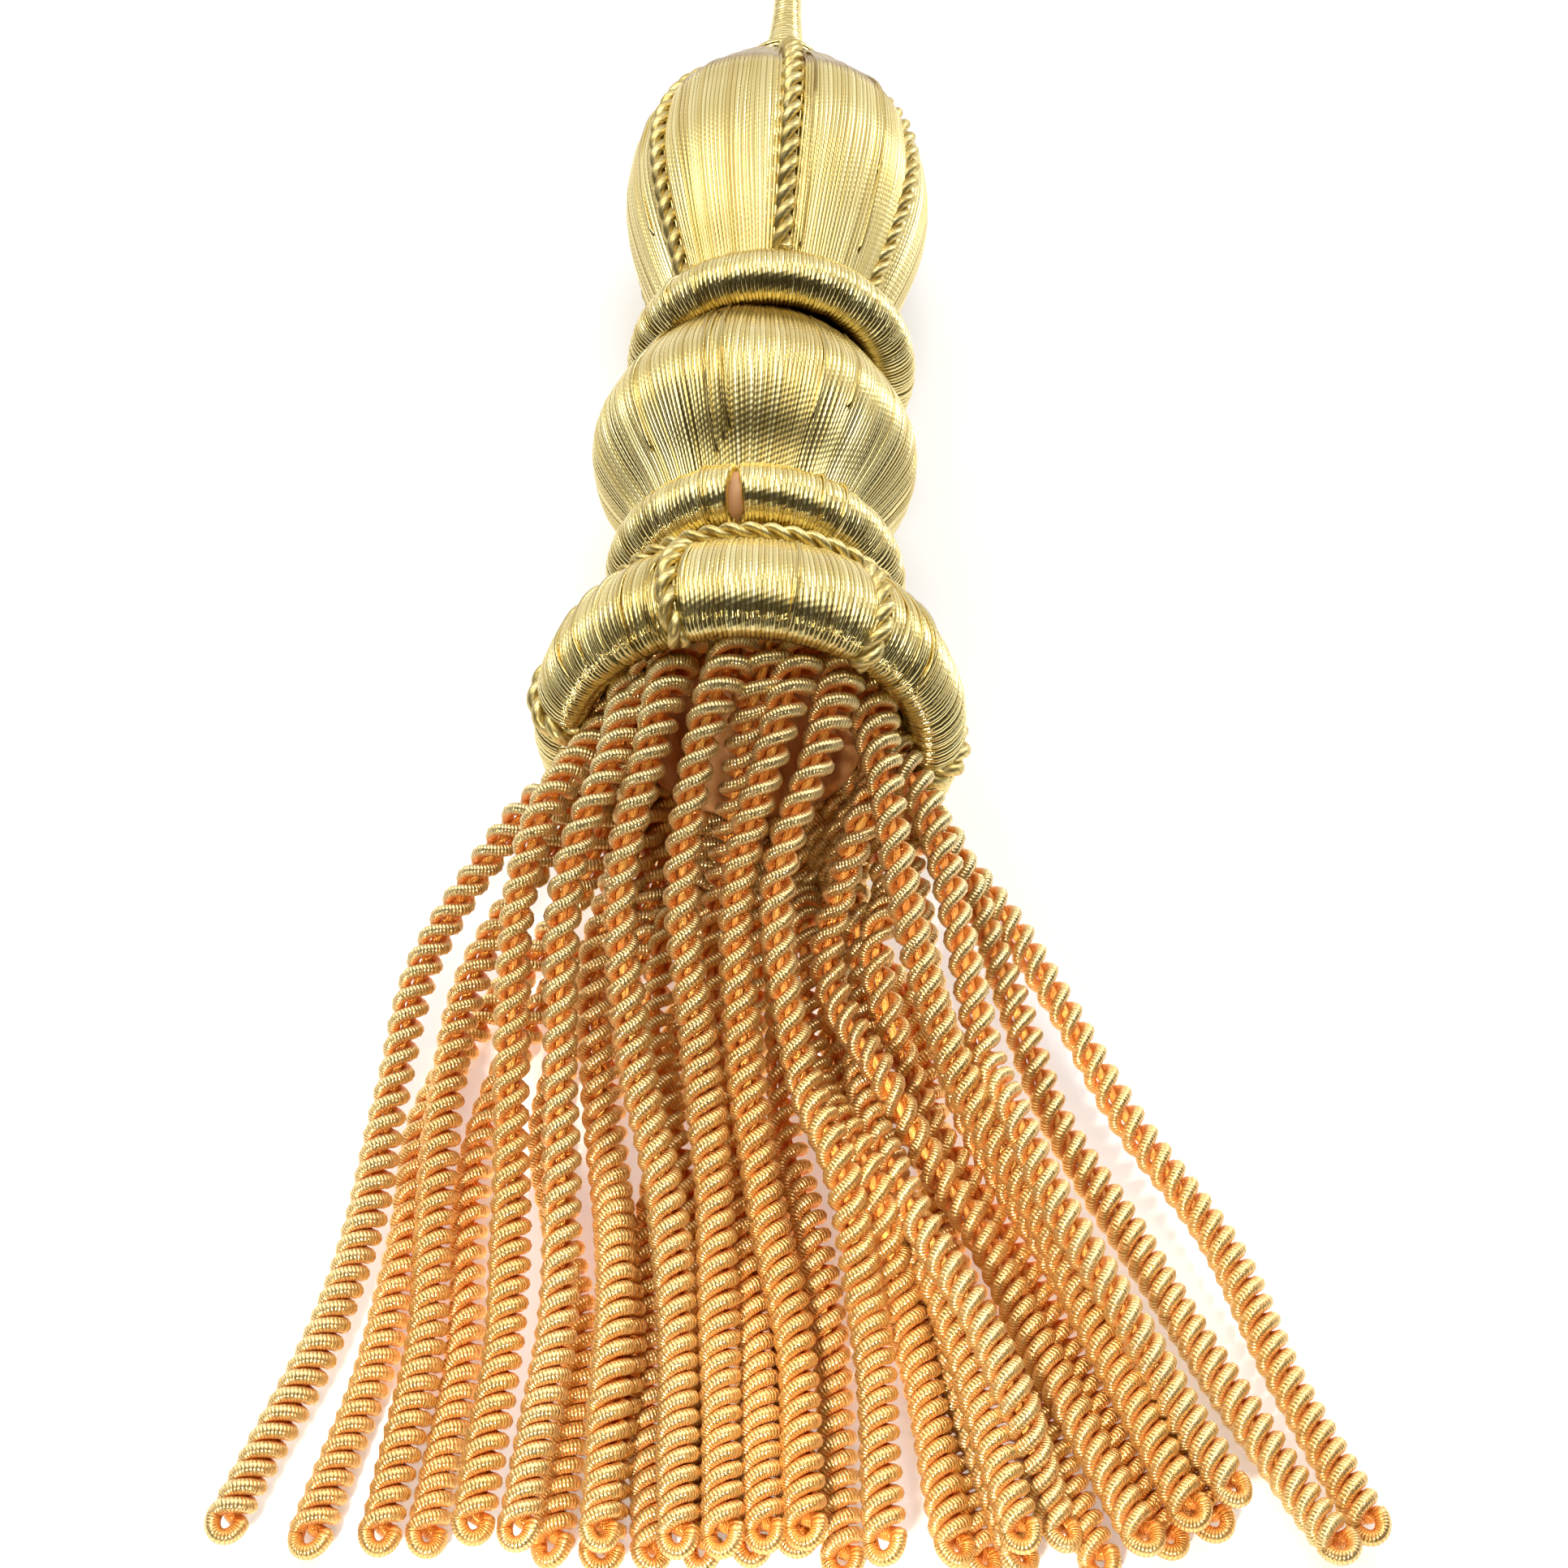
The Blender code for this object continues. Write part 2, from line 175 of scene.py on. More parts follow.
def smoothRows(rows, count):
    # a cubic through every row with the slope of its neighbours, read again at even lengths
    rows = np.asarray(rows, float)
    chord = np.concatenate([[0.0], np.cumsum(np.linalg.norm(np.diff(rows, axis=0), axis=1))])
    slope = np.gradient(rows, chord, axis=0)
    fine = np.linspace(0.0, chord[-1], count * 6)
    k = np.clip(np.searchsorted(chord, fine, side="right") - 1, 0, len(chord) - 2)
    span = (chord[k + 1] - chord[k])[:, None]
    t = (fine - chord[k])[:, None] / span
    curve = (2 * t ** 3 - 3 * t ** 2 + 1) * rows[k] + (t ** 3 - 2 * t ** 2 + t) * span * slope[k]
    curve = curve + (3 * t ** 2 - 2 * t ** 3) * rows[k + 1] + (t ** 3 - t ** 2) * span * slope[k + 1]
    return evenRows(curve, count)


def lengthAlong(points):
    # sum of the steps up to each point
    return np.concatenate([[0.0], np.cumsum(np.linalg.norm(np.diff(points, axis=0), axis=1))])


def readAt(values, places, wanted):
    # each column of values, read between its places
    return np.stack([np.interp(wanted, places, column) for column in np.asarray(values).T], 1)


def evenRows(points, count):
    # the same line, read again at even lengths
    length = lengthAlong(points)
    return readAt(points, length, np.linspace(0.0, length[-1], count))


def unit(vectors):
    # each vector over its own length
    return vectors / np.linalg.norm(vectors, axis=-1, keepdims=True)


def pairUp(across, along):
    # a UV grid from a row of across values and a column of along values
    return np.stack(np.broadcast_arrays(across, along), -1)


def closedGrid(rings, layUv, placeUv):
    # rings of points joined by four-sided faces, with a pole at each end; UV grids have one more column
    count, sides = rings.shape[:2]
    index = np.arange(count * sides).reshape(count, sides)
    after = np.roll(index, -1, axis=1)
    quads = np.stack([index[:-1], after[:-1], after[1:], index[1:]], -1).reshape(-1, 4)
    start, end = np.full(sides, count * sides), np.full(sides, count * sides + 1)
    tris = np.concatenate([np.stack([start, after[0], index[0]], -1),
                           np.stack([end, index[-1], after[-1]], -1)])
    points = np.concatenate([rings.reshape(-1, 3), rings[:1].mean(1), rings[-1:].mean(1)])
    maps = []
    for uv in (layUv, placeUv):
        corners = np.stack([uv[:-1, :-1], uv[:-1, 1:], uv[1:, 1:], uv[1:, :-1]], 2).reshape(-1, 4, 2)
        first = np.stack([uv[0, :-1], uv[0, 1:], uv[0, :-1]], 1)
        last = np.stack([uv[-1, :-1], uv[-1, :-1], uv[-1, 1:]], 1)
        maps.append((corners, np.concatenate([first, last])))
    # the signed volume tells which way the faces point
    a, b, c, d = (points[quads[:, k]] for k in range(4))
    volume = (np.cross(b - a, c - a) * a).sum() + (np.cross(c - a, d - a) * a).sum()
    if volume < 0:
        quads, tris = quads[:, ::-1], tris[:, ::-1]
        maps = [(q[:, ::-1], t[:, ::-1]) for q, t in maps]
    return points, quads, tris, maps


def putMesh(name, parts, material, replaced=()):
    # joins closed grids into one piece that rides on the tassel
    starts = np.cumsum([0] + [len(part[0]) for part in parts])
    points = np.concatenate([part[0] for part in parts])
    quads = np.concatenate([part[1] + s for part, s in zip(parts, starts)])
    tris = np.concatenate([part[2] + s for part, s in zip(parts, starts)])
    corners = np.concatenate([quads.ravel(), tris.ravel()])
    sizes = np.concatenate([np.full(len(quads), 4), np.full(len(tris), 3)])
    mesh = bpy.data.meshes.new(name)
    mesh.vertices.add(len(points))
    mesh.vertices.foreach_set("co", (points * mm).astype(np.float32).ravel())
    mesh.loops.add(len(corners))
    mesh.loops.foreach_set("vertex_index", corners.astype(np.int32))
    mesh.polygons.add(len(sizes))
    mesh.polygons.foreach_set("loop_start", np.concatenate([[0], np.cumsum(sizes)[:-1]]).astype(np.int32))
    mesh.polygons.foreach_set("use_smooth", np.ones(len(sizes), bool))
    for k, mapName in enumerate(("lay", "place")):
        uv = np.concatenate([part[3][k][0].reshape(-1, 2) for part in parts]
                            + [part[3][k][1].reshape(-1, 2) for part in parts])
        layer = mesh.uv_layers.new(name=mapName)
        layer.data.foreach_set("uv", uv.astype(np.float32).ravel())
    mesh.update(calc_edges=True)
    mesh.validate()
    mesh.materials.append(material)
    piece = bpy.data.objects.new(name, mesh)
    bpy.context.scene.collection.objects.link(piece)
    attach(piece, "root")
    if replaced:
        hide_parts(*replaced)
    print(name, len(quads) * 2 + len(tris), "triangles")
    return piece


# Places on the head

head = {
    "x": -7.00,             # the head's axis in the frame, at the large ring
    "y": -16.65,
    "height": 19.85,
    "drop": 4.15,           # degrees that the axis dips towards the stem
}
dropSin = math.sin(math.radians(head["drop"]))
dropCos = math.cos(math.radians(head["drop"]))


def onHead(radius, angle, along, sway=0.0):
    # radius and angle from straight up round the axis, and the distance along it to the stem
    across, upward = radius * np.sin(angle), radius * np.cos(angle)
    return np.stack([head["x"] + sway + across,
                     head["y"] + upward * dropSin + along * dropCos,
                     head["height"] + upward * dropCos - along * dropSin], -1)


def headNormal(outRadius, angle, outAlong):
    # the same turn without the place
    return onHead(outRadius, angle, outAlong) - onHead(0.0 * angle, angle, 0.0 * angle)


def outlineNormals(rows):
    # the outline's direction turned a quarter, away from the axis
    along = unit(np.gradient(rows, axis=0))
    return np.stack([-along[:, 1], along[:, 0]], 1)


def nestHelix(path, outward, radius, phase):
    # a line that winds round path at a radius; outward is turned by phase about the path's own direction
    forward = unit(np.gradient(path, axis=0))
    aside = unit(np.cross(forward, outward))
    outward = np.cross(aside, forward)
    facing = np.cos(phase)[:, None] * outward + np.sin(phase)[:, None] * aside
    return path + np.asarray(radius).reshape(-1, 1) * facing, facing


def tubeRound(path, outward, tall, wide, sides, across=1.0, lot=0.0, share=None):
    # an oval section carried along path: tall in the outward direction, wide square to it
    forward = unit(np.gradient(path, axis=0))
    aside = unit(np.cross(forward, outward))
    outward = np.cross(aside, forward)
    theta = np.linspace(0.0, turn, sides, endpoint=False)
    tall = np.broadcast_to(tall, len(path))[:, None, None]
    wide = np.broadcast_to(wide, len(path))[:, None, None]
    rings = path[:, None] + tall * np.cos(theta)[None, :, None] * outward[:, None]
    rings = rings + wide * np.sin(theta)[None, :, None] * aside[:, None]
    length = lengthAlong(path)
    around = np.linspace(0.0, across, sides + 1)
    share = length / length[-1] if share is None else share
    return closedGrid(rings, pairUp(around[None, :], length[:, None]),
                      pairUp(lot + 0 * around[None, :], share[:, None]))


def ringLine(radius, along, circle):
    # a line round the head's axis at one radius and place, and the direction outward at each of its points
    count = len(circle)
    return (onHead(np.full(count, radius), circle, np.full(count, along)),
            headNormal(np.ones(count), circle, np.zeros(count)))


# Metals and wood

gimp = {                    # gimp thread: a flat gilt strip spun round a silk core, 0.44 mm thick
    "pale": "#F8E8A6",
    "deep": "#DCC47A",
    # valley: painted shade between the threads, and also the colour of the strip edges
    "valley": "#8C7432",
    "tarnish": "#C6A85C",
    "crown": "#8F6F34",     # painted shade: the darker colour over the start of the outline, the bulb's crown and the ball's end under the disc ring
    "crownShadeEnd": 0.0,        # share of the outline that the painted shade takes
    "crownShadeEdge": 0.03,
    "crownShadeShare": 0.85,
    "cloudScale": 90.0,     # per metre: tarnish in patches of about a centimetre
    "wornFrom": 0.45,
    "wornTo": 0.75,
    "wornShare": 0.5,
    "valleyShadeFrom": 0.32,     # from the thread's middle, 0.5 at its edge
    "valleyShadeShare": 0.8,
    "stripPitch": 0.62,     # mm between the strip's edges along the thread
    "stripLean": 0.33,      # how far the edges shift from one thread to the next
    "stripHeight": 0.007,
    "stripTint": 0.05,
    "stripBump": 0.7,
    "turnIn": 0.0,          # 0.5 on cords, whose map starts at the middle of a thread
    "roughness": 0.24,
    "roughSpread": 0.08,
}

bullion = {                 # close coil of gilt wire, doubled and twisted
    "gold": "#FFE09A",
    "warm": "#FFD080",
    # inside: painted bounce light, the orange of light thrown between the plies
    "inside": "#FFA648",
    # painted shade in the gaps between the wires
    "groove": "#C88A3E",
    "paleUpper": "#E8DAA0",
    "wirePitch": 0.26,      # the real wire is 0.21 mm: drawn coarser so that it shows
    "wireHeight": 0.06,
    "upperFrom": 0.18,      # shares of the strand's length between which the pale upper part ends
    "upperTo": 0.6,
    "upperShare": 0.7,
    "upperMetal": 0.95,
    "lowerMetal": 0.85,     # rubbed softer in the lower half
    "metalFrom": 0.4,
    "metalTo": 0.7,
    "insideBounceFrom": 0.6,       # cosine round the ply: 1 faces out of the strand, -1 into it
    "insideBounceTo": -0.3,
    "grooveFrom": 0.5,      # height on the wire, 1 on its crest
    "grooveTo": 0.1,
    "grooveShare": 0.7,
    "insideBounceMetal": 0.3,     # painted bounce light: the inner side mirrors less and shows the orange as a diffuse glow
    "stretch": 0.6,         # the coil spreads its gloss along the ply
    "roughness": 0.3,
}

silk = {                    # painted bounce light: an orange core inside the strands, put where the warm light bounced between the plies shows through the eyes of the twist
    "light": "#FFC65E",
    "dark": "#F49C3C",
    "cloudScale": 260.0,    # per metre: lengths of about 4 mm
    "cloudFrom": 0.35,
    "cloudTo": 0.65,
    "roughness": 0.6,
}

wood = {                    # turned hardwood, stained and smooth from the lathe
    "light": "#E3B07C",
    "dark": "#B97F4C",
    "ringPitch": 0.9,       # mm between growth lines
    "lineShare": 0.35,
    "lineHeight": 0.03,
    "roughness": 0.55,
}


def makeGimp(name, palette):
    # gilt strip spun round thread: bright along each thread and painted darker between as shade, with
    # slanting strip edges, a tint of its own and a painted shade over the start of the outline
    material, tree, shader = newMaterial(name, Metallic=1.0)
    layMap = addNode(tree, "UVMap", uv_map="lay").outputs["UV"]
    split = addNode(tree, "SeparateXYZ", {"Vector": layMap}).outputs
    placeMap = addNode(tree, "UVMap", uv_map="place").outputs["UV"]
    place = addNode(tree, "SeparateXYZ", {"Vector": placeMap}).outputs
    number = addNode(tree, "Math", {0: split["X"]}, operation="FLOOR").outputs[0]
    number = addNode(tree, "Math", {0: place["X"], 1: 97.0, 2: number}, operation="MULTIPLY_ADD").outputs[0]
    lot = addNode(tree, "TexWhiteNoise", {"W": number}, noise_dimensions="1D").outputs["Value"]
    tint = addNode(tree, "Mix", {0: lot, 6: linearColour(palette["pale"]), 7: linearColour(palette["deep"])},
                   data_type="RGBA").outputs[2]
    cloud = addNode(tree, "TexNoise", {"Vector": addNode(tree, "TexCoord").outputs["Object"],
                                       "Scale": palette["cloudScale"], "Detail": 3.0}).outputs[0]
    worn = addNode(tree, "MapRange", {"Value": cloud, "From Min": palette["wornFrom"],
                                      "From Max": palette["wornTo"],
                                      "To Max": palette["wornShare"]}).outputs["Result"]
    tint = addNode(tree, "Mix", {0: worn, 6: tint, 7: linearColour(palette["tarnish"])},
                   data_type="RGBA").outputs[2]
    # painted shade: the start of the outline is coloured darker
    crown = addNode(tree, "MapRange", {"Value": place["Y"], "From Min": palette["crownShadeEnd"],
                                       "From Max": palette["crownShadeEnd"] - palette["crownShadeEdge"],
                                       "To Max": palette["crownShadeShare"]}).outputs["Result"]
    tint = addNode(tree, "Mix", {0: crown, 6: tint, 7: linearColour(palette["crown"])},
                   data_type="RGBA").outputs[2]
    # distance from the middle of the thread, 1 in the valley, where shade is painted
    inThread = addNode(tree, "Math", {0: split["X"], 1: palette["turnIn"]}, operation="ADD").outputs[0]
    inThread = addNode(tree, "Math", {0: inThread}, operation="FRACT").outputs[0]
    offMiddle = addNode(tree, "Math", {0: inThread, 1: 0.5}, operation="SUBTRACT").outputs[0]
    offMiddle = addNode(tree, "Math", {0: offMiddle}, operation="ABSOLUTE").outputs[0]
    valley = addNode(tree, "MapRange", {"Value": offMiddle, "From Min": palette["valleyShadeFrom"],
                                        "From Max": 0.5, "To Max": palette["valleyShadeShare"]}).outputs["Result"]
    tint = addNode(tree, "Mix", {0: valley, 6: tint, 7: linearColour(palette["valley"])},
                   data_type="RGBA").outputs[2]
    # strip edges: a sine of the length along the thread, shifted from thread to thread
    lean = addNode(tree, "Math", {0: split["X"], 1: palette["stripLean"]}, operation="MULTIPLY").outputs[0]
    wave = addNode(tree, "Math", {0: split["Y"], 1: 1 / palette["stripPitch"], 2: lean},
                   operation="MULTIPLY_ADD").outputs[0]
    wave = addNode(tree, "Math", {0: wave, 1: turn}, operation="MULTIPLY").outputs[0]
    wave = addNode(tree, "Math", {0: wave}, operation="SINE").outputs[0]
    edge = addNode(tree, "MapRange", {"Value": wave, "From Min": 0.2, "From Max": 1.0,
                                      "To Max": palette["stripTint"]}).outputs["Result"]
    tint = addNode(tree, "Mix", {0: edge, 6: tint, 7: linearColour(palette["valley"])},
                   data_type="RGBA").outputs[2]
    tree.links.new(tint, shader.inputs["Base Color"])
    rough = addNode(tree, "MapRange", {"Value": cloud,
                                       "To Min": palette["roughness"] - palette["roughSpread"],
                                       "To Max": palette["roughness"] + palette["roughSpread"]}).outputs[0]
    tree.links.new(rough, shader.inputs["Roughness"])
    bump = addNode(tree, "Bump", {"Height": wave, "Strength": palette["stripBump"],
                                  "Distance": palette["stripHeight"] * mm})
    tree.links.new(bump.outputs["Normal"], shader.inputs["Normal"])
    return material


def makeBullion(name, palette):
    # coiled gilt wire: fine bright ridges across the ply with painted shade between the wires, paler outside
    # and high up, and painted bounce light in orange inside the twist
    material, tree, shader = newMaterial(name, Roughness=palette["roughness"],
                                         Anisotropic=palette["stretch"], Anisotropic_Rotation=0.25)
    grain = addNode(tree, "Tangent", direction_type="UV_MAP", uv_map="lay").outputs["Tangent"]
    tree.links.new(grain, shader.inputs["Tangent"])
    layMap = addNode(tree, "UVMap", uv_map="lay").outputs["UV"]
    split = addNode(tree, "SeparateXYZ", {"Vector": layMap}).outputs
    placeMap = addNode(tree, "UVMap", uv_map="place").outputs["UV"]
    place = addNode(tree, "SeparateXYZ", {"Vector": placeMap}).outputs
    phase = addNode(tree, "Math", {0: split["Y"], 1: math.pi / palette["wirePitch"]},
                    operation="MULTIPLY").outputs[0]
    wave = addNode(tree, "Math", {0: phase}, operation="SINE").outputs[0]
    wire = addNode(tree, "Math", {0: wave}, operation="ABSOLUTE").outputs[0]
    facing = addNode(tree, "Math", {0: split["X"], 1: turn}, operation="MULTIPLY").outputs[0]
    facing = addNode(tree, "Math", {0: facing}, operation="COSINE").outputs[0]
    # height up the strand and its own lot of gold
    upper = addNode(tree, "MapRange", {"Value": place["Y"], "From Min": palette["upperFrom"],
                                       "From Max": palette["upperTo"], "To Min": 1.0,
                                       "To Max": 0.0}).outputs["Result"]
    tint = addNode(tree, "Mix", {0: place["X"], 6: linearColour(palette["gold"]),
                                 7: linearColour(palette["warm"])}, data_type="RGBA").outputs[2]
    upper = addNode(tree, "Math", {0: upper, 1: palette["upperShare"]},
                    operation="MULTIPLY").outputs[0]
    tint = addNode(tree, "Mix", {0: upper, 6: tint, 7: linearColour(palette["paleUpper"])},
                   data_type="RGBA").outputs[2]
    # painted bounce light: orange and less metal on the side that faces into the strand
    insideBounce = addNode(tree, "MapRange", {"Value": facing, "From Min": palette["insideBounceFrom"],
                                       "From Max": palette["insideBounceTo"]}).outputs["Result"]
    metal = addNode(tree, "MapRange", {"Value": place["Y"], "From Min": palette["metalFrom"],
                                       "From Max": palette["metalTo"], "To Min": palette["upperMetal"],
                                       "To Max": palette["lowerMetal"]}).outputs["Result"]
    metal = addNode(tree, "Mix", {0: insideBounce, 2: metal, 3: palette["insideBounceMetal"]},
                    data_type="FLOAT").outputs[0]
    tree.links.new(metal, shader.inputs["Metallic"])
    tint = addNode(tree, "Mix", {0: insideBounce, 6: tint, 7: linearColour(palette["inside"])},
                   data_type="RGBA").outputs[2]
    # painted shade: darker between the wires
    between = addNode(tree, "MapRange", {"Value": wire, "From Min": palette["grooveFrom"],
                                         "From Max": palette["grooveTo"],
                                         "To Max": palette["grooveShare"]}).outputs["Result"]
    tint = addNode(tree, "Mix", {0: between, 6: tint, 7: linearColour(palette["groove"])},
                   data_type="RGBA").outputs[2]
    tree.links.new(tint, shader.inputs["Base Color"])
    bump = addNode(tree, "Bump", {"Height": wire, "Strength": 1.0, "Distance": palette["wireHeight"] * mm})
    tree.links.new(bump.outputs["Normal"], shader.inputs["Normal"])
    return material


def makeBounceCore(name, palette):
    # an orange core that the coils wind round, standing in for bounce light: soft orange, with lighter and
    # darker lengths
    material, tree, shader = newMaterial(name, Roughness=palette["roughness"])
    cloud = addNode(tree, "TexNoise", {"Vector": addNode(tree, "TexCoord").outputs["Object"],
                                       "Scale": palette["cloudScale"], "Detail": 2.0}).outputs[0]
    cloud = addNode(tree, "MapRange", {"Value": cloud, "From Min": palette["cloudFrom"],
                                       "From Max": palette["cloudTo"]}).outputs["Result"]
    tint = addNode(tree, "Mix", {0: cloud, 6: linearColour(palette["light"]),
                                 7: linearColour(palette["dark"])}, data_type="RGBA").outputs[2]
    tree.links.new(tint, shader.inputs["Base Color"])
    return material


def makeWood(name, palette):
    # lathe-turned grain: fine growth lines in a slow cloud of stain
    material, tree, shader = newMaterial(name, Roughness=palette["roughness"])
    place = addNode(tree, "TexCoord").outputs["Object"]
    cloud = addNode(tree, "TexNoise", {"Vector": place, "Scale": 1 / (palette["ringPitch"] * 6 * mm),
                                       "Detail": 4.0}).outputs[0]
    line = addNode(tree, "TexWave", {"Vector": place, "Scale": 1 / (palette["ringPitch"] * turn * mm),
                                     "Distortion": 3.0, "Detail": 2.0}, bands_direction="X").outputs["Fac"]
    grain = addNode(tree, "Math", {0: line, 1: palette["lineShare"], 2: cloud},
                    operation="MULTIPLY_ADD").outputs[0]
    grain = addNode(tree, "MapRange", {"Value": grain, "From Min": 0.35, "From Max": 1.0}).outputs["Result"]
    tint = addNode(tree, "Mix", {0: grain, 6: linearColour(palette["light"]),
                                 7: linearColour(palette["dark"])}, data_type="RGBA").outputs[2]
    tree.links.new(tint, shader.inputs["Base Color"])
    bump = addNode(tree, "Bump", {"Height": line, "Strength": 0.3, "Distance": palette["lineHeight"] * mm})
    tree.links.new(bump.outputs["Normal"], shader.inputs["Normal"])
    return material


gimpThread = makeGimp("spunGimpThread", gimp)
# painted shade over the bulb's crown
crownShadedThread = makeGimp("spunGimpThreadCrownShaded", {**gimp, "crownShadeEnd": 0.42})
# painted shade: the ball's end under the disc ring is coloured darker
underRingShadedThread = makeGimp("spunGimpThreadShadedUnderRing", {**gimp, "crownShadeEnd": 0.13})
# the cords get a lighter painted shade between their threads
gimpCord = makeGimp("spunGimpCord", {**gimp, "turnIn": 0.5, "valley": "#B89C58", "roughness": 0.42})
bullionWire = makeBullion("coiledBullionWire", bullion)
bounceCoreThread = makeBounceCore("orangeBounceCore", silk)
turnedWood = makeWood("stainedTurnedWood", wood)
print("materials are made")

# Thread wound over the moulds. Outline columns: radius, distance along the axis

bulb = {
    "outline": ((3.9, 91.6), (6.4, 88.5), (9.3, 84.7), (11.7, 81.0), (13.0, 79.2), (14.3, 76.8),
                (14.9, 73.0), (15.1, 69.5), (14.7, 65.5), (13.7, 61.0), (12.2, 56.0), (10.9, 52.4),
                (10.2, 50.3)),
    "threads": 214, "points": 6, "stations": 38, "ridge": 0.17, "seed": 3, "strays": 4,
    "sway": 0.0,
    "dips": (-54.0, 6.0, 66.0, 126.0, 186.0, 246.0), "dipDepth": 0.5, "dipWidth": 1.3, "swell": 0.6,
}
discRing = {
    "outline": ((9.2, 50.0), (11.9, 49.2), (13.5, 47.8), (14.1, 45.9), (13.5, 44.1), (11.8, 43.1),
                (10.2, 43.5), (9.0, 44.9)),
    "threads": 190, "points": 6, "stations": 22, "ridge": 0.16, "seed": 5, "sway": 0.3, "strays": 2,
}
ball = {
    "outline": ((9.0, 45.0), (10.4, 43.2), (12.7, 39.9), (14.5, 36.4), (15.5, 33.0), (15.2, 30.2),
                (13.5, 26.6), (11.4, 23.4), (9.8, 20.4)),
    "threads": 220, "points": 6, "stations": 30, "ridge": 0.17, "seed": 7, "sway": -0.9, "strays": 7,
}
smallRing = {
    "outline": ((9.3, 20.3), (11.8, 19.5), (13.3, 18.2), (13.9, 16.4), (13.4, 14.5), (12.2, 13.4),
                (10.2, 13.0)),
    "threads": 190, "points": 6, "stations": 22, "ridge": 0.16, "seed": 11, "sway": -0.2, "strays": 3,
    "slit": -8.0, "slitWidth": 0.75, "slitDepth": 1.1,     # degrees from straight up, mm, mm
    # shares of the outline: where the slit opens, how long it widens, where it ends and how fast it closes
    "slitFrom": 0.22, "slitRun": 0.45, "slitTo": 0.98, "slitClose": 0.12,
}
largeRing = {
    "outline": ((10.6, 12.8), (12.1, 11.6), (13.0, 9.6), (13.5, 7.4), (14.9, 6.3), (16.7, 5.1), (18.3, 2.9),
                (19.3, 0.2), (19.5, -2.0), (18.9, -4.1), (17.7, -5.5), (16.4, -6.0), (15.1, -5.3),
                (14.4, -3.6), (14.3, 1.0)),
    "threads": 270, "points": 6, "stations": 38, "ridge": 0.18, "seed": 13, "sway": 0.0, "strays": 12,
    "dips": (-22.0, 38.0, 98.0, 158.0, 218.0, 278.0), "dipDepth": 0.4, "dipWidth": 1.2,
}
winding = {
    "widthSpread": 0.22,      # how much single threads differ from the mean width and height
    "heightSpread": 0.35,
    "ridgeLimit": 0.55,       # a ridge is no higher than this share of the threads' spacing
    "waves": (3, 7, 12, 19, 31),    # slow sines round the piece
    "drift": 0.026,           # radians that the threads wander sideways
    "driftLean": 2.2,
    "driftTurn": 3,
    "lump": 0.16,             # unevenness of the padding under the thread
    "lumpLean": 3.5,
    "lumpShare": 0.35,
}
strayThread = {"radius": 0.21, "rise": 0.12, "swing": 11.0, "sides": 5}


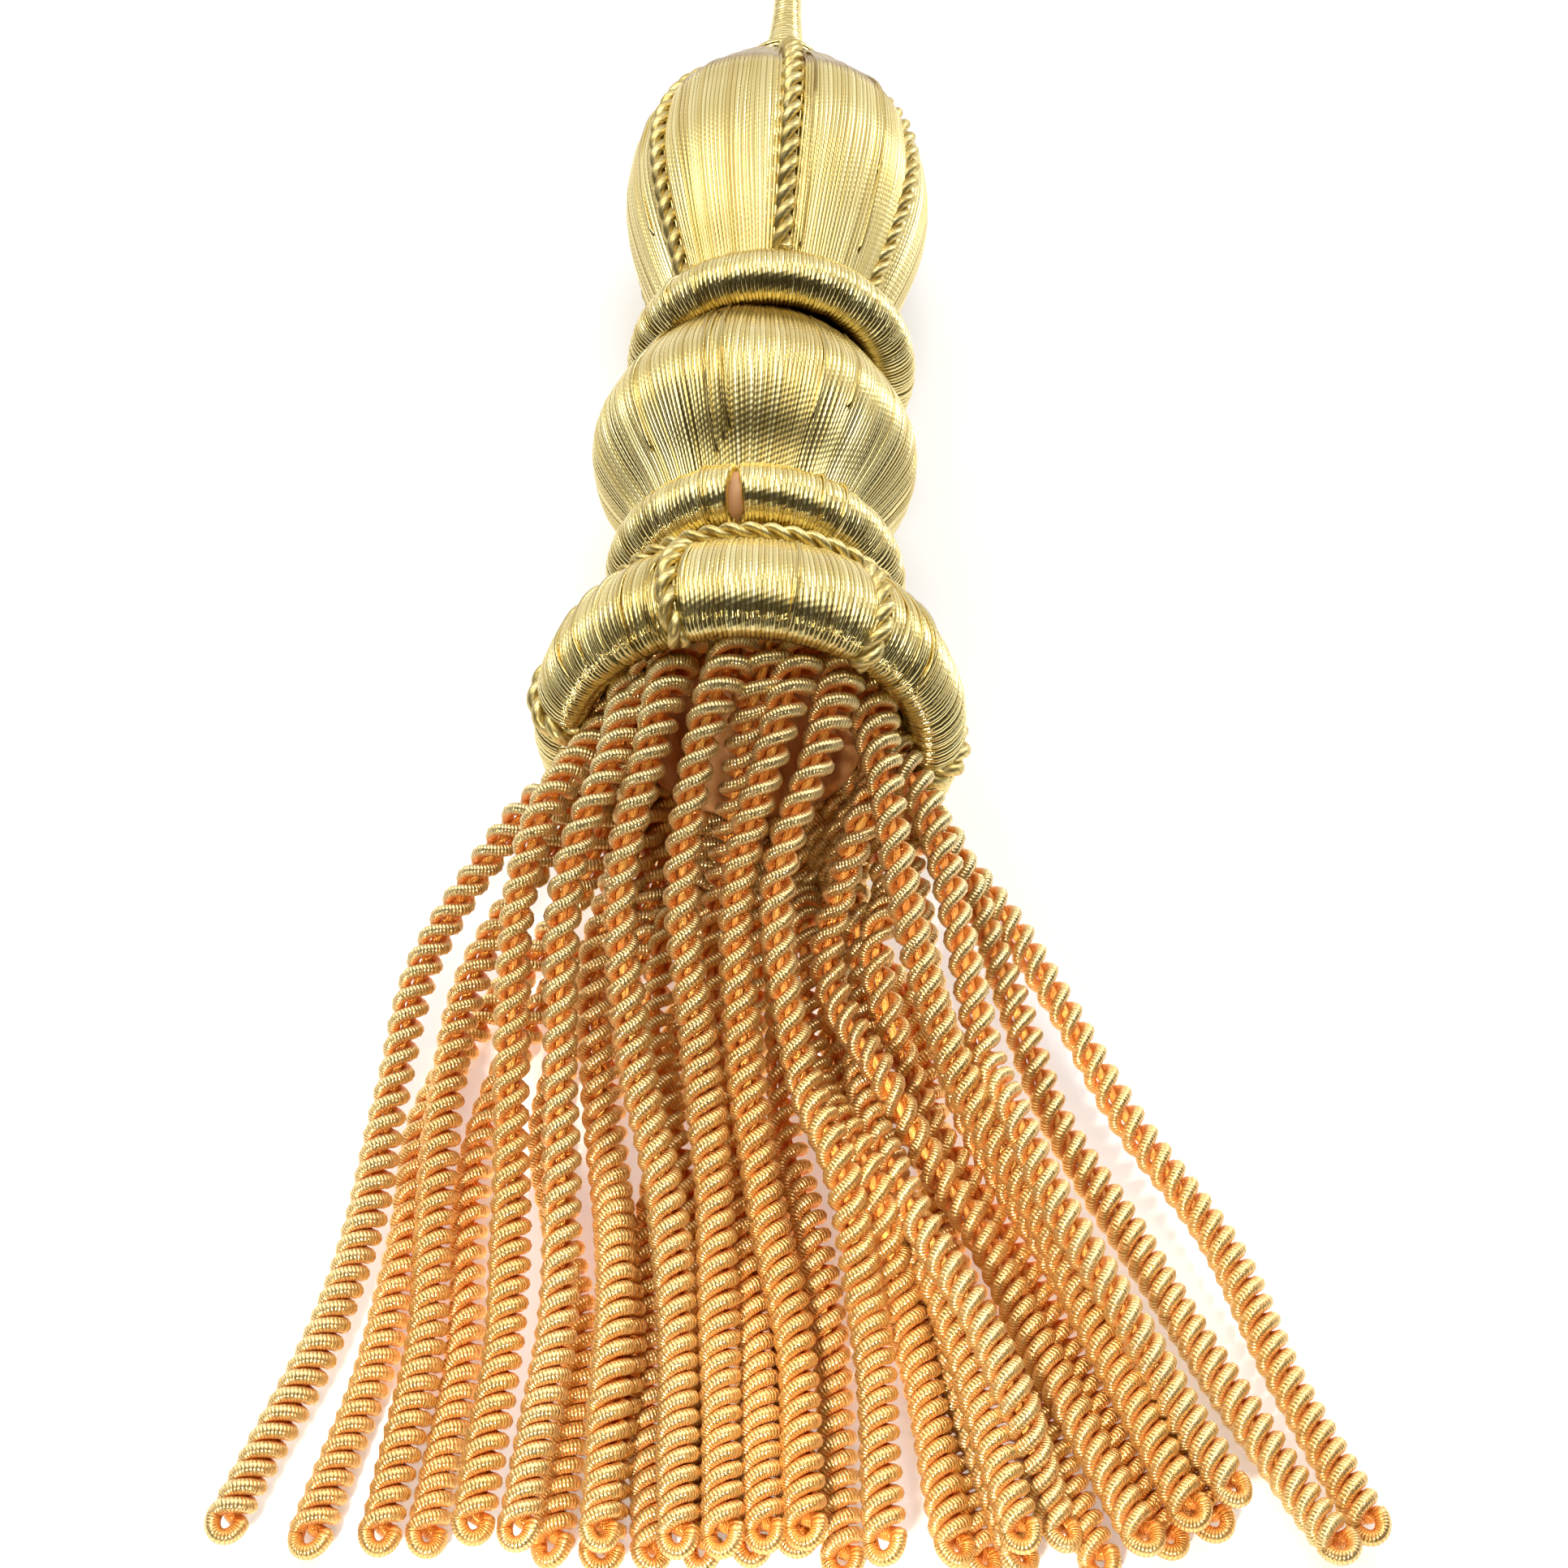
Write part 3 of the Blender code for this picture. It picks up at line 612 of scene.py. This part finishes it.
def woundMould(name, shape, material, replaced):
    # outline spun round the axis and raised by half-round threads; the threads differ a little in width and
    # height, wander sideways by slow sines, dip under laid cords and part at a slit
    draw = np.random.default_rng(shape["seed"])
    rows = smoothRows(shape["outline"], shape["stations"])
    normals = outlineNormals(rows)
    threads, points = shape["threads"], shape["points"]
    widths = 1 + winding["widthSpread"] * draw.uniform(-1, 1, threads)
    edges = np.concatenate([[0.0], np.cumsum(widths)]) / widths.sum() * turn
    step = np.arange(points) / points
    angle = (edges[:-1, None] + np.diff(edges)[:, None] * step).ravel()
    crown = np.sqrt(np.clip(1 - (2 * step - 1) ** 2, 0, 1))
    height = (crown[None, :] * (1 + winding["heightSpread"] * draw.uniform(-1, 1, threads))[:, None]).ravel()
    share = np.linspace(0.0, 1.0, len(rows))[:, None]
    drift = 0.0
    lump = 0.0
    for k in winding["waves"]:
        a, b, c = draw.uniform(0, turn, 3)
        sideways = np.sin(k * angle + a + (1 + k % 3) * winding["driftLean"] * share)
        drift = drift + winding["drift"] / math.sqrt(k) * sideways * np.cos(winding["driftTurn"] * share + b)
        lump = lump + winding["lump"] / math.sqrt(k) * np.sin(k * angle + c + winding["lumpLean"] * share)
    pitch = turn * rows[:, :1] / threads
    raised = np.minimum(shape["ridge"], winding["ridgeLimit"] * pitch) * height[None, :]
    raised = raised + winding["lumpShare"] * lump
    for middle in shape.get("dips", ()):
        away = (angle - math.radians(middle) + math.pi) % turn - math.pi
        raised = raised - shape["dipDepth"] * np.exp(-(away * rows[:, :1] / shape["dipWidth"]) ** 2)
    if "swell" in shape:
        count = len(shape["dips"])
        between = np.abs(np.sin((angle - math.radians(shape["dips"][0])) * count / 2))
        raised = raised + shape["swell"] * (between - 0.5) * np.sin(math.pi * share)
    placed = angle[None, :] + drift
    if "slit" in shape:
        # threads draw aside and the surface sinks between them, most near the fringe's end
        away = (placed - math.radians(shape["slit"]) + math.pi) % turn - math.pi
        wedge = np.clip((share - shape["slitFrom"]) / shape["slitRun"], 0, 1)
        wedge = wedge * np.clip((shape["slitTo"] - share) / shape["slitClose"], 0, 1)
        opening = shape["slitWidth"] * wedge / rows[:, :1]
        inside = np.exp(-(away / np.maximum(opening, 1e-4)) ** 4)
        raised = raised - shape["slitDepth"] * inside
    radius = rows[:, :1] + normals[:, :1] * raised
    along = rows[:, 1:] + normals[:, 1:] * raised
    rings = onHead(radius, placed, along, shape["sway"])
    rings[..., 2] = np.maximum(rings[..., 2], 0.0)
    count = np.arange(threads * points + 1) / points
    grids = [closedGrid(rings, pairUp(count[None, :], lengthAlong(rows)[:, None]),
                        pairUp(0 * count[None, :], share))]
    # stray threads lie over the others and cross them slowly
    for number in range(shape["strays"]):
        begin, swing, first, last = draw.uniform((-70, -1, 0.0, 0.7), (70, 1, 0.25, 1.0))
        kept = (share[:, 0] >= first) & (share[:, 0] <= last)
        sweep = math.radians(begin) + math.radians(strayThread["swing"]) * swing * share[kept, 0]
        column = np.searchsorted(angle, sweep % turn) % len(angle)
        outward = headNormal(normals[kept, 0], sweep, normals[kept, 1])
        path = rings[np.flatnonzero(kept), column] + strayThread["rise"] * outward
        path[1:-1] = (path[:-2] + path[1:-1] + path[2:]) / 3
        path[[0, -1]] -= 2 * strayThread["radius"] * outward[[0, -1]]
        grids.append(tubeRound(path, outward, strayThread["radius"], strayThread["radius"],
                               strayThread["sides"], across=0.999, lot=0.01 + number / 50))
    return putMesh(name, grids, material, replaced)


woundMould("bulbWinding", bulb, crownShadedThread, ["bulb"])
woundMould("discRingWinding", discRing, gimpThread, ["disc_ring"])
woundMould("ballWinding", ball, underRingShadedThread, ["ball"])
woundMould("smallRingWinding", smallRing, gimpThread, ["small_ring"])
woundMould("largeRingWinding", largeRing, gimpThread, ["large_ring"])

stem = {
    "outline": ((1.2, 108.0), (1.35, 104.0), (1.5, 100.5), (1.95, 96.6), (2.5, 94.1), (3.6, 93.5),
                (4.1, 92.6), (3.5, 91.5)),
    "pitch": 0.52, "ridge": 0.13, "sides": 40, "perTurn": 6,
}


def woundStem():
    # thread wound crosswise: a ridge that climbs one pitch in each turn
    rough = smoothRows(stem["outline"], 40)
    length = lengthAlong(rough)[-1]
    rows = smoothRows(stem["outline"], int(length / stem["pitch"] * stem["perTurn"]))
    normals = outlineNormals(rows)
    place = lengthAlong(rows)[:, None]
    angle = np.linspace(0, turn, stem["sides"], endpoint=False)[None, :]
    phase = (place / stem["pitch"] + angle / turn) % 1.0
    raised = stem["ridge"] * np.sqrt(np.clip(1 - (2 * phase - 1) ** 2, 0, 1))
    rings = onHead(rows[:, :1] + normals[:, :1] * raised, angle, rows[:, 1:] + normals[:, 1:] * raised)
    around = np.linspace(0, 1, stem["sides"] + 1)[None, :]
    grid = closedGrid(rings, pairUp(place / stem["pitch"] + around, rows[:, :1] * turn * around),
                      pairUp(0 * around, place / place[-1]))
    putMesh("stemWinding", [grid], gimpThread, ["stem"])


woundStem()
print("wound pieces are made")

# Bare wood: the mould inside the large ring and the one behind the small ring's slit

mould = {
    "outline": ((0.4, 1.0), (7.6, 1.0), (8.0, -3.9), (8.6, -4.5), (9.3, -4.7), (10.0, -4.5), (10.3, -3.9),
                (10.4, -0.4), (13.9, -0.3), (13.9, 4.0), (0.4, 4.1)),
    "slitOutline": ((9.0, 20.0), (11.5, 19.0), (12.75, 17.9), (13.2, 16.4), (12.8, 14.8), (11.8, 13.8),
                    (9.8, 13.4)),
    "sides": 96,
}


def bareMould(name, rows, sway, replaced):
    # outline spun round the axis
    rows = np.asarray(rows, float)
    angle = np.linspace(0, turn, mould["sides"], endpoint=False)[None, :]
    rings = onHead(rows[:, :1], angle, rows[:, 1:], sway)
    around = np.linspace(0, 1, mould["sides"] + 1)[None, :]
    layUv = pairUp(around, lengthAlong(rows)[:, None])
    putMesh(name, [closedGrid(rings, layUv, layUv)], turnedWood, replaced)


bareMould("ringMould", mould["outline"], 0.0, ["ring_mould"])
bareMould("slitMould", smoothRows(mould["slitOutline"], 16), smallRing["sway"], [])

# Laid cords: two plies of gimp threads each

laid = {
    "bulbRows": ((4.6, 90.8), (6.6, 88.6), (9.8, 84.8), (12.5, 80.6), (14.1, 76.6), (14.9, 73.0),
                 (15.1, 69.5), (14.7, 65.5), (13.7, 61.0), (12.2, 56.0), (11.2, 52.9), (10.6, 51.3)),
    "ropeRows": ((14.9, 6.3), (16.7, 5.1), (18.3, 2.9), (19.3, 0.2), (19.5, -2.0), (18.9, -4.1),
                 (17.7, -5.5), (16.4, -6.0), (15.3, -5.5)),
    # how deep each cord sinks in the winding; the one the bulb rests on is pressed in
    "bulbSinks": (0.3, 0.3, 0.3, 0.3, 1.4, 0.3),
    "ropeSink": 0.2,
    "jointCircle": (14.6, 8.3),   # radius, place along the axis
    "jointScale": 0.8,
    "jointPoints": 240,
    "pitch": 4.8,
    "threadPitch": 5.5,
    "plyRing": 0.5,           # from the cord's middle to each ply's
    "plyRadius": 0.58,
    "threads": 6,
    "sides": 12,
    "perTurn": 24,
}


def laidCord(path, outward, scale):
    # two plies wind round the cord's middle; the threads of each ply run on round it, as slanting lines
    length = lengthAlong(path)[-1]
    count = int(length / laid["pitch"] / scale * laid["perTurn"])
    places = lengthAlong(path)
    wanted = np.linspace(0, places[-1], count)
    path, outward = readAt(path, places, wanted), readAt(outward, places, wanted)
    parts = []
    for ply in (0.0, 0.5):
        phase = turn * (wanted / laid["pitch"] / scale + ply)
        middle, facing = nestHelix(path, outward, laid["plyRing"] * scale, phase)
        own = nestHelix(middle, facing, 0.0, turn * wanted / laid["threadPitch"] / scale)[1]
        parts.append(tubeRound(middle, own, laid["plyRadius"] * scale, laid["plyRadius"] * scale,
                               laid["sides"], across=laid["threads"], lot=0.31 * ply))
    return parts


def cordOverOutline(rows, degrees, sink):
    # the outline sunk along its normals, at one angle round the axis, with the direction outward
    rows = smoothRows(rows, 80)
    normals = outlineNormals(rows)
    angle = np.full(len(rows), math.radians(degrees))
    rows = rows - sink * normals
    return onHead(rows[:, 0], angle, rows[:, 1]), headNormal(normals[:, 0], angle, normals[:, 1])


for number, (degrees, sink) in enumerate(zip(bulb["dips"], laid["bulbSinks"]), 1):
    path, outward = cordOverOutline(laid["bulbRows"], degrees, sink)
    putMesh("bulbCord%d" % number, laidCord(path, outward, 1.0), gimpCord,
            ["bulb_cord_%d" % number])
for number, degrees in enumerate(largeRing["dips"], 1):
    path, outward = cordOverOutline(laid["ropeRows"], degrees, laid["ropeSink"])
    putMesh("ringRope%d" % number, laidCord(path, outward, 1.0), gimpCord,
            ["ring_rope_%d" % number])
path, outward = ringLine(*laid["jointCircle"], np.linspace(math.pi, 3 * math.pi, laid["jointPoints"]))
putMesh("jointCord", laidCord(path, outward, laid["jointScale"]), gimpCord, ["joint_cord"])
print("laid cords are made")

# Fringe: each strand is one length of coiled wire, doubled into a loop at its end and twisted

fringe = {
    # heights of the lowest and the highest strands: place along Y from the large ring, low, high
    "tent": ((0.0, 7.7, 32.2), (-4.0, 7.7, 32.5), (-6.0, 7.2, 33.0), (-8.0, 6.2, 33.0),
             (-11.0, 4.6, 31.6), (-15.0, 3.0, 28.8), (-22.0, 2.3, 23.0), (-34.0, 1.95, 14.6),
             (-46.0, 1.95, 9.2), (-58.0, 1.95, 6.6), (-70.0, 1.95, 5.8), (-76.0, 1.95, 5.0)),
    "stations": (-11.0, -22.0, -34.0, -46.0, -58.0, -70.0),
    # strands in the order they were laid: degrees round the ring from straight up, lift towards the high
    # line, sideways place at each station, place of the end
    "strands": (
        (-118, 0.00, -14.5, -23.0, -28.0, -28.6, -29.9, -32.8, -74.5),
        (-131, 0.00, -11.0, -18.5, -22.6, -23.1, -22.5, -23.8, -74.0),
        (-144, 0.00, -8.5, -14.5, -17.0, -14.7, -12.4, -13.4, -74.6),
        (-168, 0.00, -3.0, -5.6, -6.3, -7.1, -6.8, -5.9, -74.8),
        (180, 0.00, 0.0, -2.0, -2.7, 1.5, 2.5, 2.7, -74.0),
        (172, 0.00, 1.5, 1.0, 1.2, 4.3, 5.7, 6.4, -73.0),
        (163, 0.00, 3.2, 3.5, 4.3, 6.9, 9.0, 10.0, -75.0),
        (155, 0.00, 6.5, 9.0, 10.5, 12.6, 16.8, 20.5, -74.6),
        (127, 0.00, 9.5, 16.0, 17.5, 18.7, 25.3, 29.9, -74.5),
        (-92, 0.40, -20.5, -28.2, -30.5, -31.9, -34.7, -39.2, -74.0),
        (118, 0.30, 19.5, 27.6, 34.5, 42.7, 47.6, 53.4, -70.9),
        (147, 0.00, 8.5, 12.0, 13.0, 14.9, 19.3, 23.2, -75.0),
        (101, 0.35, 18.2, 23.5, 27.9, 35.0, 41.8, 49.0, -73.5),
        (150, 0.20, 8.8, 8.2, 10.0, 15.5, 20.0, 23.5, -74.5),
        (-156, 0.00, -6.0, -11.5, -11.6, -10.0, -8.6, -9.3, -75.0),
        (134, 0.10, 9.0, 11.0, 11.1, 15.2, 21.8, 27.1, -72.8),
        (-106, 0.30, -17.5, -24.0, -25.9, -25.9, -25.8, -27.4, -74.5),
        (-162, 0.10, -5.4, -7.8, -6.2, -3.4, -2.4, -1.6, -74.8),
        (120, 0.15, 13.0, 12.0, 16.8, 24.5, 30.2, 36.0, -72.5),
        (165, 0.10, 5.0, 5.6, 7.6, 12.4, 16.2, 18.6, -74.6),
        (8, 0.40, -0.4, -2.8, -1.2, 0.8, 2.7, 3.6, -74.2),
        (-43, 0.50, -9.4, -12.8, -12.2, -10.2, -9.4, -9.6, -74.6),
        (108, 0.25, 14.2, 17.0, 20.8, 27.2, 34.0, 40.4, -71.0),
        (62, 0.90, 12.1, 14.4, 19.1, 26.9, 32.6, 38.2, -71.3),
        (-76, 0.90, -15.8, -19.3, -19.6, -19.0, -18.8, -19.8, -74.2),
        (84, 0.50, 11.4, 7.6, 13.0, 21.5, 27.4, 33.3, -73.4),
        (40, 1.00, 6.8, 3.2, 5.3, 9.7, 12.5, 13.4, -75.0),
        (82, 0.70, 16.0, 19.2, 22.5, 27.6, 35.5, 42.9, -69.0),
        (-54, 1.00, -11.1, -15.1, -15.3, -14.6, -14.4, -15.8, -74.8),
        (-32, 1.00, -7.8, -10.4, -8.9, -5.6, -4.1, -3.5, -75.0),
        (-5, 1.00, -3.4, -5.1, -3.2, -1.4, -0.5, 0.2, -74.8),
        (21, 1.00, 2.9, -0.2, 0.7, 3.0, 5.9, 6.9, -73.9),
    ),
    "rootRing": 12.3,         # the strands are sewn round this circle
    "rootEnd": (-4.5, 1.02),  # place where a strand leaves the ring, and how far out as a share of its root
    "pastEnd": -77.0,         # each line runs on to here, then is cut at its own end
    "tiltFade": 12.0,         # the roots are square to the head's axis and upright this far on
    "bandFront": -3.6,
    "liftFrom": -6.0,         # the ring of roots turns into the lifts of the table from here on
    "liftRun": 14.0,
    "layFrom": -13.0,         # strands rest on one another from here on
    "layThickness": 3.3,      # a strand lies this far above the one under it
    "settle": 45,             # samples that a height is smoothed over
    # from the strand's middle to each ply's, and the ply's own radius: open above, close below, wide at
    # the root
    "upperSpread": 1.06,
    "lowerSpread": 1.18,
    "rootSpread": 1.9,
    "upperPly": 0.59,
    "lowerPly": 0.71,
    "rootPly": 0.74,
    "upperPitch": 4.4,
    "lowerPitch": 3.5,
    "changeShare": (0.4, 0.68),   # where along a strand its twist closes up
    "changeRun": 5.0,
    "pitchWander": (0.05, 5.0),   # share that the pitch and the spread vary by, and over how many mm
    "spreadWander": (0.06, 3.1),
    "rootRun": 9.0,           # the wide root fades over this length
    "loopRun": 0.9,
    "plyPress": 1.02,         # how far a close twist presses the plies into each other
    "perTurn": 14,
    "sides": 9,
    "coreRadius": 0.42,
    "coreStep": 1.5,
    "coreSides": 6,
    "loopLength": 1.7,
    "loopSpread": 1.2,
    "loopPoints": 14,
    "samples": 260,
    "fineSamples": 1500,
    "seed": 21,
    # heading band: place along the axis, half its height and half its width
    "bandAlong": -2.2,
    "bandTall": 1.6,
    "bandWide": 1.2,
    "bandSides": 12,
    "bandPoints": 145,
}


def strandPaths():
    # sideways place: a cubic through the stations, from the ring of roots on. Height: between the tent's low
    # and high lines, raised over the strands already laid, then smoothed. Nothing parts the strands at their
    # roots, and the smoothing lets them sink into one another where they cross
    fan = []
    tent = np.array(fringe["tent"])[::-1]
    laidDown = []
    for degrees, lift, *rest in fringe["strands"]:
        places, end = np.array(rest[:-1]), rest[-1]
        angle = math.radians(degrees)
        rootAcross, rootUp = fringe["rootRing"] * math.sin(angle), fringe["rootRing"] * math.cos(angle)
        rootPlace, rootOut = fringe["rootEnd"]
        stations = np.array((0.0, rootPlace) + fringe["stations"] + (fringe["pastEnd"],))
        beyond, before = stations[-2] - stations[-1], stations[-3] - stations[-2]
        drift = places[-1] + (places[-1] - places[-2]) * beyond / before
        across = np.concatenate([[rootAcross, rootAcross * rootOut], places, [drift]])
        curve = smoothRows(np.stack([stations, across], 1), 300)
        along = np.linspace(-1.0, end, fringe["samples"])
        x = np.interp(-along, -curve[:, 0], curve[:, 1])
        low, high = (np.interp(along, tent[:, 0], tent[:, k]) for k in (1, 2))
        blend = np.clip((fringe["liftFrom"] - along) / fringe["liftRun"], 0.0, 1.0)
        blend = blend * blend * (3 - 2 * blend)
        rootLift = (1 + math.cos(angle)) / 2
        z = low + (high - low) * (rootLift + (lift - rootLift) * blend)
        # a strand lies on those under it: z is at least that of a round strand resting on a round strand
        for otherAlong, otherX, otherZ in laidDown:
            thereX = np.interp(-along, -otherAlong, otherX)
            thereZ = np.interp(-along, -otherAlong, otherZ)
            over = np.sqrt(np.clip(fringe["layThickness"] ** 2 - (x - thereX) ** 2, 0, None))
            z = np.where((along < fringe["layFrom"]) & (over > 0), np.maximum(z, thereZ + over), z)
        kernel = np.hanning(fringe["settle"])
        z = np.convolve(np.pad(z, fringe["settle"] // 2, mode="edge"), kernel / kernel.sum(), mode="valid")
        laidDown.append((along, x, z))
        path = np.stack([x, along, z], 1)
        fade = np.clip(1 + (along - fringe["bandFront"]) / fringe["tiltFade"], 0, 1)
        path[:, 1] += (path[:, 2] - head["height"]) * math.tan(math.radians(head["drop"])) * fade
        fan.append(path + np.array([head["x"], head["y"], 0.0]))
    return fan


def strandTube(path, draw):
    # one wire that winds down the path as one ply, round a loop at its end and back as the other: each ply
    # is spread from the middle by a vector that turns once in each pitch
    places = lengthAlong(path)
    total = places[-1]
    # the twist is looser in the upper half and closer in the lower half
    change = draw.uniform(*fringe["changeShare"]) * total
    along = np.linspace(0, total, fringe["fineSamples"])
    upper = 1 / (1 + np.exp((along - change) / fringe["changeRun"]))
    pitch = fringe["lowerPitch"] + (fringe["upperPitch"] - fringe["lowerPitch"]) * upper
    amount, wave = fringe["pitchWander"]
    pitch = pitch * (1 + amount * np.sin(along / wave + draw.uniform(0, turn)))
    turns = np.concatenate([[0.0], np.cumsum(np.diff(along) / (0.5 * (pitch[1:] + pitch[:-1])))])
    count = int(turns[-1] * fringe["perTurn"])
    wantedTurns = np.linspace(0, turns[-1], count)
    wanted = np.interp(wantedTurns, turns, along)
    pitchHere = np.interp(wanted, along, pitch)
    line = readAt(path, places, wanted)
    forward = unit(np.gradient(line, axis=0))
    aside = unit(np.cross([0.0, 0.0, 1.0], forward))
    upright = np.cross(forward, aside)
    phase = turn * (wantedTurns - turns[-1]) + draw.uniform(-0.5, 0.5)
    upper = np.interp(wanted, along, upper)
    root = np.exp(-(wanted / fringe["rootRun"]) ** 2)
    spread = fringe["lowerSpread"] + (fringe["upperSpread"] - fringe["lowerSpread"]) * upper
    amount, wave = fringe["spreadWander"]
    spread = spread * (1 + amount * np.sin(wanted / wave + draw.uniform(0, turn)))
    spread = spread + (fringe["rootSpread"] - fringe["upperSpread"]) * root
    atLoop = np.exp(-(total - wanted) / fringe["loopRun"])
    spread = spread + (fringe["loopSpread"] - fringe["lowerSpread"]) * atLoop
    ply = fringe["lowerPly"] + (fringe["upperPly"] - fringe["lowerPly"]) * upper
    ply = ply + (fringe["rootPly"] - fringe["upperPly"]) * root
    facing = np.cos(phase)[:, None] * aside + np.sin(phase)[:, None] * upright
    # the neighbouring ply is half a pitch away, so a close twist flattens the plies
    climb = np.arctan2(pitchHere, turn * spread)
    wide = np.minimum(ply, 0.25 * pitchHere * np.cos(climb) * fringe["plyPress"])
    # loop: half an oval from one ply's end to the other's
    bend = np.linspace(0, math.pi, fringe["loopPoints"] + 2)[1:-1, None]
    lastOut, lastForward = facing[-1], forward[-1]
    loop = line[-1] + spread[-1] * np.cos(bend) * lastOut + fringe["loopLength"] * np.sin(bend) * lastForward
    loopOut = unit(np.cos(bend) * lastOut + np.sin(bend) * lastForward)
    first, second = line + spread[:, None] * facing, line - spread[:, None] * facing
    wire = np.concatenate([first, loop, second[::-1]])
    tall = np.concatenate([ply, np.full(len(loop), ply[-1]), ply[::-1]])
    wire[:, 2] = np.maximum(wire[:, 2], tall)
    outward = np.concatenate([facing, loopOut, -facing[::-1]])
    wide = np.concatenate([wide, np.full(len(loop), wide[-1]), wide[::-1]])
    share = np.concatenate([wanted, np.full(len(loop), total), wanted[::-1]]) / total
    return tubeRound(wire, outward, tall, wide, fringe["sides"], lot=draw.uniform(), share=share)


def strandCore(path):
    # a thin round thread along the strand's middle, which stops one step short of its end: the orange core
    # that stands in for bounce light
    count = int(lengthAlong(path)[-1] / fringe["coreStep"])
    line = evenRows(path, count)[:-1]
    radius = fringe["coreRadius"]
    return tubeRound(line, np.tile((0.0, 0.0, 1.0), (len(line), 1)), radius, radius, fringe["coreSides"])


draw = np.random.default_rng(fringe["seed"])
paths = strandPaths()
strands = [strandTube(path, draw) for path in paths]
order = np.argsort([row[-2] for row in fringe["strands"]])
third = len(order) // 3
groups = {"strandsLeft": order[:third], "strandsMiddle": order[third:-third], "strandsRight": order[-third:]}
for name, members in groups.items():
    putMesh(name, [strands[k] for k in members], bullionWire, ["fringe"])
# the orange cores: painted bounce light seen through the twist
putMesh("strandBounceCore", [strandCore(path) for path in paths], bounceCoreThread, ["fringe"])
circle = np.linspace(0.0, turn, fringe["bandPoints"]) + math.pi
path, outward = ringLine(fringe["rootRing"], fringe["bandAlong"], circle)
band = tubeRound(path, outward, fringe["bandTall"], fringe["bandWide"], fringe["bandSides"])
putMesh("headingBand", [band], bullionWire, ["fringe"])
print("fringe is made")
